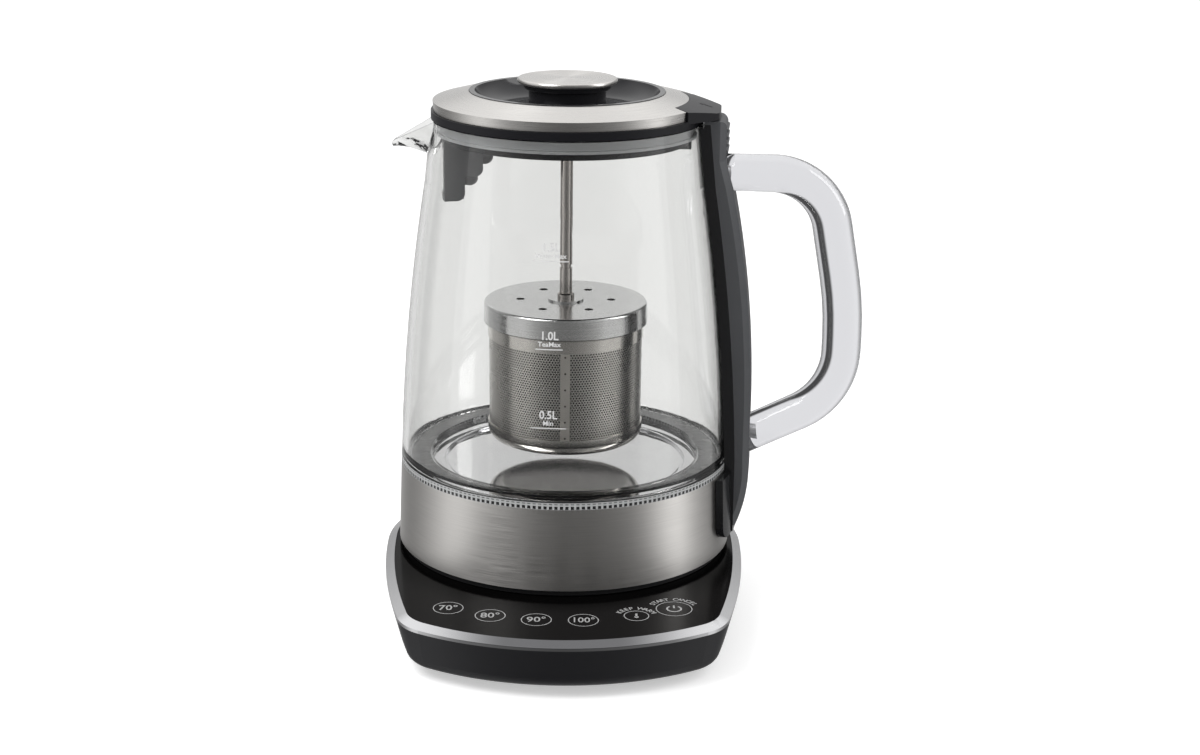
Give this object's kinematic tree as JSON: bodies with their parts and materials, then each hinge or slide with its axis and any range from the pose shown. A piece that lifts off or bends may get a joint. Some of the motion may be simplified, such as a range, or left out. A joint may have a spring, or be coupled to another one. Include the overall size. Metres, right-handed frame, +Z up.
{
  "type": "automatic tea maker",
  "caption": "Glass electric kettle with a lid, a liftable perforated tea basket and a clear C-shaped handle, standing on a D-shaped power dock with a touch panel.",
  "frame": {"origin": "on the kettle's upright axis, in the plane that the feet stand on", "axes": "+Z up; -Y towards the touch panel at the front; +X to the right of someone who faces the panel, the side of the handle"},
  "size_m": [0.2132, 0.2061, 0.239],
  "materials": {
    "housing": "satin moulded black",
    "base_plate": "matt moulded black",
    "foot_rubber": "matt",
    "trim": "polished",
    "panel": "high gloss black",
    "dock": "fine matt",
    "connector": "smooth",
    "board": "resin board",
    "spring_wire": "bright wire",
    "screw": "bright zinc",
    "grommet": "matt",
    "socket": "matt",
    "kettle_base": "satin",
    "brushed_band": "brushed around",
    "plate_steel": "satin",
    "element": "as drawn",
    "thermostat": "moulded",
    "seal": "translucent grey silicone",
    "clear_ring": "clear, ribbed",
    "jug_glass": "clear",
    "spine_black": "gloss black",
    "spine_cover": "matt dark grey",
    "clear_handle": "clear solid acrylic",
    "lid_black": "satin black",
    "lid_steel": "brushed around",
    "bowl_black": "high gloss black",
    "frame_black": "satin",
    "mesh_steel": "fine mesh",
    "knob_steel": "brushed",
    "knob_black": "gloss black",
    "rod_steel": "polished",
    "cap_steel": "polished top, brushed skirt",
    "basket_steel": "fine perforated sheet"
  },
  "bodies": {
    "base": {"base_housing": "housing", "base_bottom_plate": "base_plate", "base_feet": "foot_rubber", "base_trim": "trim", "control_panel": "panel", "dock_plate": "dock", "base_connector": "connector", "control_board": "board", "touch_springs": "spring_wire", "board_screws": "screw", "cord_gland": "grommet"},
    "socket": {"power_socket": "socket"},
    "kettle": {"bottom_cover": "kettle_base", "steel_band": "brushed_band", "heating_plate": "plate_steel", "heating_element": "element", "thermostat": "thermostat", "plate_seal": "seal", "junction_ring": "clear_ring", "glass_jug": "jug_glass", "spine_gasket": "spine_black", "spine_body": "spine_black", "spine_cover": "spine_cover", "handle": "clear_handle", "handle_studs": "screw"},
    "lid": {"lid_body": "lid_black", "lid_steel_ring": "lid_steel", "lid_bowl": "bowl_black", "lid_seal": "seal", "rod_guide": "frame_black", "detent_ball": "plate_steel", "detent_spring": "spring_wire", "strainer_frame": "frame_black", "strainer_mesh": "mesh_steel"},
    "infuser": {"knob_disc": "knob_steel", "knob_rim": "knob_black", "knob_stem": "knob_black", "rod": "rod_steel", "rod_collar": "frame_black", "basket_cap": "cap_steel"},
    "basket": {"basket_wall": "basket_steel", "basket_top_band": "basket_steel", "basket_bottom": "basket_steel", "basket_seam": "basket_steel"}
  },
  "joints": [
    {"name": "kettle_lift", "type": "slide", "parent": "base", "child": "socket", "axis": [0, 0, 1], "range_m": [0, 0.06]},
    {"name": "kettle_turn", "type": "hinge", "parent": "socket", "child": "kettle", "pos_m": [0, 0, 0], "axis": [0, 0, 1], "continuous": true},
    {"name": "lid_lift", "type": "slide", "parent": "kettle", "child": "lid", "axis": [0, 0, 1], "range_m": [0, 0.165]},
    {"name": "infuser_lift", "type": "slide", "parent": "lid", "child": "infuser", "axis": [0, 0, 1], "range_m": [0, 0.06]},
    {"name": "basket_drop", "type": "slide", "parent": "infuser", "child": "basket", "axis": [0, 0, -1], "range_m": [0, 0.0083]}
  ]
}
